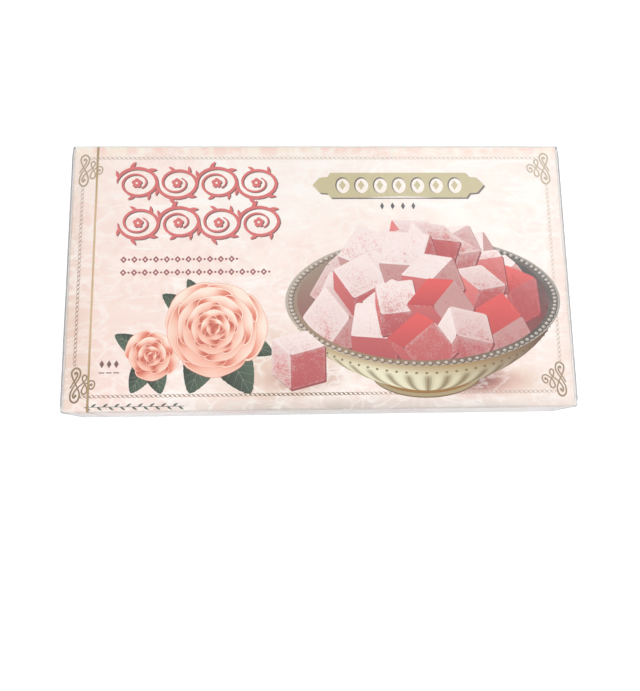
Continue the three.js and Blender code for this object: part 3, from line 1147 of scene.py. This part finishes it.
def paint_face(picture, corners, jelly, dusted, lit):
    """One face of a cube. Sugar lies thickest along its edges and thins towards its darker foot."""
    cx, cy = sum(x for x, _ in corners) / 4, sum(y for _, y in corners) / 4
    ax, ay = (corners[1][0] - corners[0][0]) / 2, (corners[1][1] - corners[0][1]) / 2
    bx, by = (corners[3][0] - corners[0][0]) / 2, (corners[3][1] - corners[0][1]) / 2
    area = abs(ax * by - ay * bx)
    low, high = min(y for _, y in corners), max(y for _, y in corners)

    def ink(x, y):
        return mix(JELLY_DARK, jelly, 0.35 + 0.8 * (y - low) / (high - low))

    def sugar(x, y):
        across = abs((x - cx) * by - (y - cy) * bx) / area
        along = abs((y - cy) * ax - (x - cx) * ay) / area
        edge, rise = max(across, along) ** 8, (y - low) / (high - low)
        cover = dusted * (0.75 + 0.4 * rise) + 0.3 * edge
        light = 1.3 * lit - 0.18 + 0.3 * (rise - 0.5) + 0.12 * edge
        return min(1.0, max(0.0, cover)), min(1.0, max(0.0, light))

    outline = soft_corners(corners, 0.07)
    for share in (1.0, 0.93, 0.8):
        picture.paint(shrunk(outline, share), ink, sugar)


def sweet(picture, rng, centre, turn):
    """One cube over its shadow: its faces towards the viewer, each of clear jelly or under icing sugar."""
    half = SWEET / 2 * rng.uniform(0.9, 1.06)
    cut_face = rng.random() < 0.2
    faces, corners_seen = [], []
    for axis in range(3):
        for side in (-1, 1):
            normal = Vector((0, 0, 0))
            normal[axis] = side
            facing = turn @ normal
            if facing.dot(TOWARDS) < 0.02:
                continue
            u, v = (axis + 1) % 3, (axis + 2) % 3
            corners = []
            for a, b in ((-1, -1), (1, -1), (1, 1), (-1, 1)):
                place = Vector((0, 0, 0))
                place[axis], place[u], place[v] = side * half, a * half, b * half
                corners.append(seen(centre + turn @ place))
            lit = max(0.0, facing.dot(LIGHT))
            jelly = mix(JELLY_DARK, JELLY_LIGHT, 0.3 + 1.1 * lit)
            if cut_face and facing.z > 0.5:
                jelly, dusted = JELLY_CUT, 0.0
            elif facing.z > 0.3:
                dusted = rng.uniform(0.8, 1.1)
            else:
                dusted = rng.choice(DUSTINGS)
            corners_seen += corners
            faces.append((corners, jelly, dusted, lit))
    shadow = [corners_seen[i] for i in convex_hull_2d([Vector(c) for c in corners_seen])]
    picture.paint([(x + 0.6, y - 0.8) for x, y in shadow], HEAP_SHADOW)
    for face in faces:
        paint_face(picture, *face)


def heap(rng):
    """Places and turns of the cubes, farthest first."""
    cubes = []
    for count, reach, height in LAYERS:
        for i in range(count):
            angle = 2 * math.pi * (i + rng.uniform(-0.16, 0.16)) / count + reach * 0.13
            away = reach * rng.uniform(0.92, 1.04)
            centre = Vector((away * math.cos(angle), away * math.sin(angle), height + rng.uniform(-2, 2)))
            tilt = (rng.uniform(-0.5, 0.5), rng.uniform(-0.5, 0.5), rng.uniform(0, math.pi / 2))
            cubes.append((centre, Euler(tilt).to_matrix()))
    return sorted(cubes, key=lambda cube: cube[0].dot(TOWARDS))


def inside_wall(x, y):
    """The inside of the bowl: metal at the back, and red from the sweets in front."""
    metal = mix(STEEL_LEFT, STEEL_DARK, 0.5 + 0.6 * (x - DISH_AT[0]) / DISH_ACROSS)
    return mix(DISH_SHADE, metal, 0.5 + (y - DISH_AT[1]) / DISH_UP)


def dish():
    """A beaded metal dish heaped with sugared cubes, and a loose cube beside it."""
    picture = Picture()
    rng = random.Random(SEED + 1)
    foot_ring(picture)
    picture.paint(ellipse(*DISH_AT, DISH_ACROSS - 1, DISH_UP - 1, 96), inside_wall)
    steel_rim(picture, 0.0)
    for centre, turn in heap(rng):
        sweet(picture, rng, centre, turn)
    bowl(picture)
    steel_rim(picture, math.pi)
    sweet(picture, rng, LOOSE, Euler((0.0, 0.0, 0.5)).to_matrix())
    return picture


# ---------------- the other faces

SIDE_HALF = (116, 11.5)  # half the length and the height of the chains on a long side, and on an end
END_HALF = (59, 11.5)
SIDE_PLAQUE = (24, 5.2, 3)  # half its length, half its height, holes
SIDE_VINES = (27, -52)  # where the short vines on the narrow faces start
PANEL = (96, -44, 18)  # half the length of the pale panel below, and its two levels
PANEL_LINE = 0.4


def on_top(lift):
    return lambda x, y: (x, y, RIM + crown_at(x, y) + lift)


def on_base(x, y):
    return (x, -y, BASE - INK_LIFT)


def on_side(side):
    """The long side at +Y or -Y, read from outside."""
    return lambda x, y: (-side * x, side * (HALF_WIDTH + INK_LIFT), MIDDLE + y)


def on_end(end):
    """The end at +X or -X, read from outside."""
    return lambda x, y: (end * (HALF_LENGTH + INK_LIFT), end * x, MIDDLE + y)


def edge_panel(half):
    """Chains round a narrow face, with a khaki plaque and short vines in its middle."""
    picture = Picture()
    four_chains(picture, (0, 0), half, half, BROWN)
    pierced_plaque(picture, 0, 0, *SIDE_PLAQUE)
    for left in SIDE_VINES:
        vine(picture, left, left + 25, 0, 2, ROSE_RED, 1.2)
    return picture


def back_panel():
    """The underside: the chain border, a bare pale panel and a row of scrolls."""
    picture = Picture()
    four_chains(picture, (0, 0), BORDER_HALF, BORDER_HALF, BROWN)
    half, low, high = PANEL
    for inset, ink in ((0, TAUPE), (PANEL_LINE, mix(CREAM, VEIN, 0.7))):
        x, y0, y1 = half - inset, low + inset, high - inset
        picture.paint([(-x, y0), (x, y0), (x, y1), (-x, y1)], ink)
    vine(picture, -72, 72, 36, 8, ROSE_RED, 1.7)
    return picture


# ---------------- the piece list

marbled = marbled_board()
raw = raw_board()
printed = printing_ink()
film = clear_film()


def keep(piece, slot, *nodes):
    """piece rides with the pack and stands for those solids, which it hides. slot is not used."""
    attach(piece, "root")
    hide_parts(*nodes)


keep(board_box(), "printed_board", "carton")
for end in (-1, 1):
    keep(end_flap(end), "printed_board", "carton")

prints = (
    (border(), "print_border", on_top(INK_LIFT), 6.0),
    (arabesque(), "print_scrolls", on_top(INK_LIFT), 6.0),
    (title_plaque(), "print_plaque", on_top(INK_LIFT), 6.0),
    (small_marks(), "print_small_marks", on_top(INK_LIFT), 6.0),
    (blossoms(), "print_blossoms", on_top(2 * INK_LIFT), 1.0),
    (dish(), "print_dish", on_top(3 * INK_LIFT), 2.0),
    (edge_panel(SIDE_HALF), "print_front_side", on_side(-1), 20.0),
    (edge_panel(SIDE_HALF), "print_back_side", on_side(1), 20.0),
    (edge_panel(END_HALF), "print_left_end", on_end(-1), 20.0),
    (edge_panel(END_HALF), "print_right_end", on_end(1), 20.0),
    (back_panel(), "print_underside", on_base, 20.0),
)
for picture, name, on_face, spacing in prints:
    keep(picture.mesh(name, on_face, spacing), "printed_board", "carton")

keep(film_wrap(), "clear_film", "film_wrap")
tape = frame["nodes"]["tear_tape"]
tape.data.materials.clear()
tape.data.materials.append(gold_tape())

# ---------------- floor, light and camera

FLOOR_HALF = 3000.0
HORIZON = 0.98  # brightness of the room round the floor
SKY = 0.2  # and above
SKY_RISE = (0.02, 0.6)  # between which heights one fades into the other
STRIPS_AT = (40, 128, 218, 312)  # where the strip lights stand round the pack, in degrees
STRIP_REACH = 1.5
STRIP_HEIGHT = 0.75
STRIP_SIZE = (0.28, 0.9)
STRIP_WATTS = 1.5
CAMERA_AT = (-0.01134, -0.08913, 0.34875)  # the camera that sees the pack as the photograph does
CAMERA_TURN = (9.677, -1.795, -0.884)
LENS = 34.906


def floor():
    """A plain square under the pack."""
    corners = [(x * FLOOR_HALF, y * FLOOR_HALF, 0) for x, y in ((-1, -1), (1, -1), (1, 1), (-1, 1))]
    mesh_object("floor", corners, [(0, 1, 2, 3)], floor_paint())


def softbox(name, place, target, size, watts, mirrored=True):
    """An area light at place, aimed at target, in metres. The film mirrors it, unless told otherwise."""
    light = bpy.data.lights.new(name, "AREA")
    light.shape = "RECTANGLE"
    light.size, light.size_y = size
    light.energy = watts
    holder = in_scene(name, light)
    holder.location = place
    holder.rotation_euler = (Vector(target) - Vector(place)).to_track_quat("-Z", "Y").to_euler()
    holder.visible_glossy = mirrored


def lights():
    """A soft light overhead, a small window behind the pack, and strips of light all round."""
    softbox("overhead", (0.0, -0.55, 1.5), (0, 0, 0), (1.0, 0.9), 19.9, mirrored=False)
    softbox("window", (0.42, 0.46, 0.84), (0.08, 0.02, 0.03), (0.5, 0.42), 0.8)
    for index, degrees in enumerate(STRIPS_AT):
        turn = math.radians(degrees)
        place = (STRIP_REACH * math.cos(turn), STRIP_REACH * math.sin(turn), STRIP_HEIGHT)
        softbox(f"strip_{index}", place, (0, 0, 0), STRIP_SIZE, STRIP_WATTS)


def camera():
    """Above the pack's front edge, looking down with a slight tilt."""
    data = bpy.data.cameras.new("camera")
    data.sensor_width = 36.0
    data.lens = LENS
    holder = in_scene("camera", data)
    holder.location = CAMERA_AT
    holder.rotation_euler = [math.radians(a) for a in CAMERA_TURN]
    bpy.context.scene.camera = holder


def world():
    """White round the horizon, so that the floor has no edge, and a dimmer white above."""
    s = Shader("studio", bpy.data.worlds)
    _, _, height = s.axes(s.add("ShaderNodeTexCoord", {}).outputs["Generated"])
    strength = s.fit(height, *SKY_RISE, HORIZON, SKY, "SMOOTHSTEP")
    inputs = {"Color": (*WHITE, 1), "Strength": strength}
    return s.finish(inputs, "ShaderNodeBackground", "ShaderNodeOutputWorld")


floor()
bpy.context.scene.world = world()
lights()
camera()
bpy.context.scene.view_settings.view_transform = "Standard"
